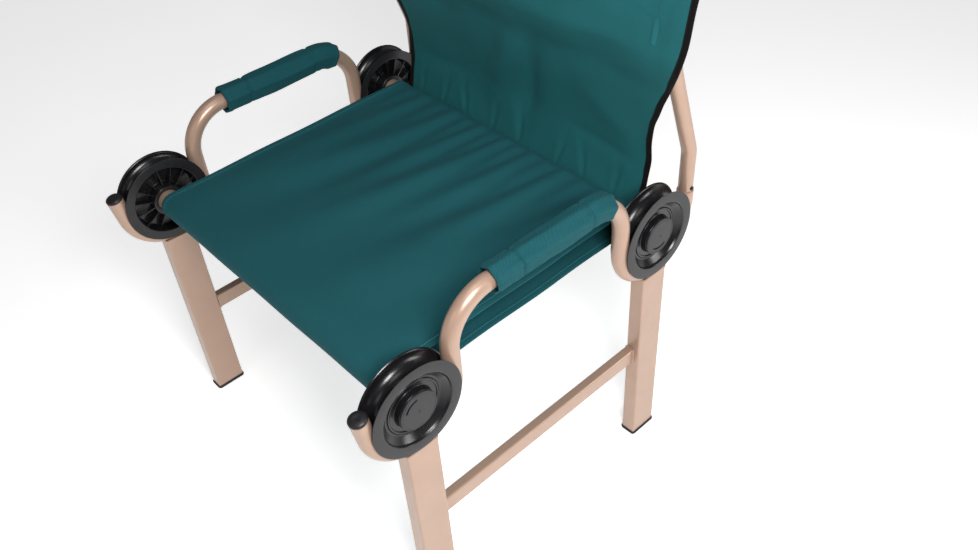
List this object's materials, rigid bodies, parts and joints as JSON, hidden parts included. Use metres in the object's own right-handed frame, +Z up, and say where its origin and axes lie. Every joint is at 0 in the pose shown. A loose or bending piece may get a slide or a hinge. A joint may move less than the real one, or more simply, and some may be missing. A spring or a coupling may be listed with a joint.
{
  "type": "camp chair",
  "caption": "Low camp chair with tan bent-tube arms on square-section legs, black grooved roller discs and a dark teal fabric seat, back and arm pads.",
  "frame": {"origin": "on the ground, under the middle of the chair's box", "axes": "+Z up, the sitter faces -Y, +X is the sitter's left"},
  "size_m": [0.663, 0.6222, 0.8806],
  "materials": {
    "tan_paint": "satin",
    "black_plastic": "glossy",
    "black_rubber": "matte",
    "teal_fabric": "matte",
    "black_binding": "matte",
    "bare_steel": "satin"
  },
  "bodies": {
    "frame": {"side_tube_left": "tan_paint", "tip_cap_left": "black_plastic", "side_rail_left": "tan_paint", "leg_front_left": "tan_paint", "foot_front_left": "black_rubber", "leg_rear_left": "tan_paint", "foot_rear_left": "black_rubber", "back_post_left": "tan_paint", "post_cap_left": "black_plastic", "button_spring_left": "bare_steel", "arm_pad_left": "teal_fabric", "back_sleeve_left": "teal_fabric", "back_binding_left": "black_binding", "side_tube_right": "tan_paint", "tip_cap_right": "black_plastic", "side_rail_right": "tan_paint", "leg_front_right": "tan_paint", "foot_front_right": "black_rubber", "leg_rear_right": "tan_paint", "foot_rear_right": "black_rubber", "back_post_right": "tan_paint", "post_cap_right": "black_plastic", "button_spring_right": "bare_steel", "arm_pad_right": "teal_fabric", "back_sleeve_right": "teal_fabric", "back_binding_right": "black_binding", "seat_sling": "teal_fabric", "back_panel": "teal_fabric"},
    "front_roller": {"front_pole": "tan_paint", "disc_front_left": "black_plastic", "hub_cap_front_left": "black_plastic", "disc_front_right": "black_plastic", "hub_cap_front_right": "black_plastic"},
    "rear_roller": {"rear_pole": "tan_paint", "disc_rear_left": "black_plastic", "hub_cap_rear_left": "black_plastic", "disc_rear_right": "black_plastic", "hub_cap_rear_right": "black_plastic"},
    "button_left": {"post_button_left": "black_plastic"},
    "button_right": {"post_button_right": "black_plastic"}
  },
  "joints": [
    {"name": "front_roller_turn", "type": "hinge", "parent": "frame", "child": "front_roller", "pos_m": [0, -0.2247, 0.428], "axis": [1, 0, 0], "range_deg": [-40, 40]},
    {"name": "rear_roller_turn", "type": "hinge", "parent": "frame", "child": "rear_roller", "pos_m": [0, 0.2253, 0.428], "axis": [1, 0, 0], "range_deg": [-40, 40]},
    {"name": "button_left_press", "type": "slide", "parent": "frame", "child": "button_left", "axis": [-1, 0, 0], "range_m": [0, 0.003], "stiffness_N_per_m": 400},
    {"name": "button_right_press", "type": "slide", "parent": "frame", "child": "button_right", "axis": [1, 0, 0], "range_m": [0, 0.003], "stiffness_N_per_m": 400}
  ],
  "couplings": [
    {"joint": "rear_roller_turn", "follows": "front_roller_turn", "ratio": 1}
  ]
}
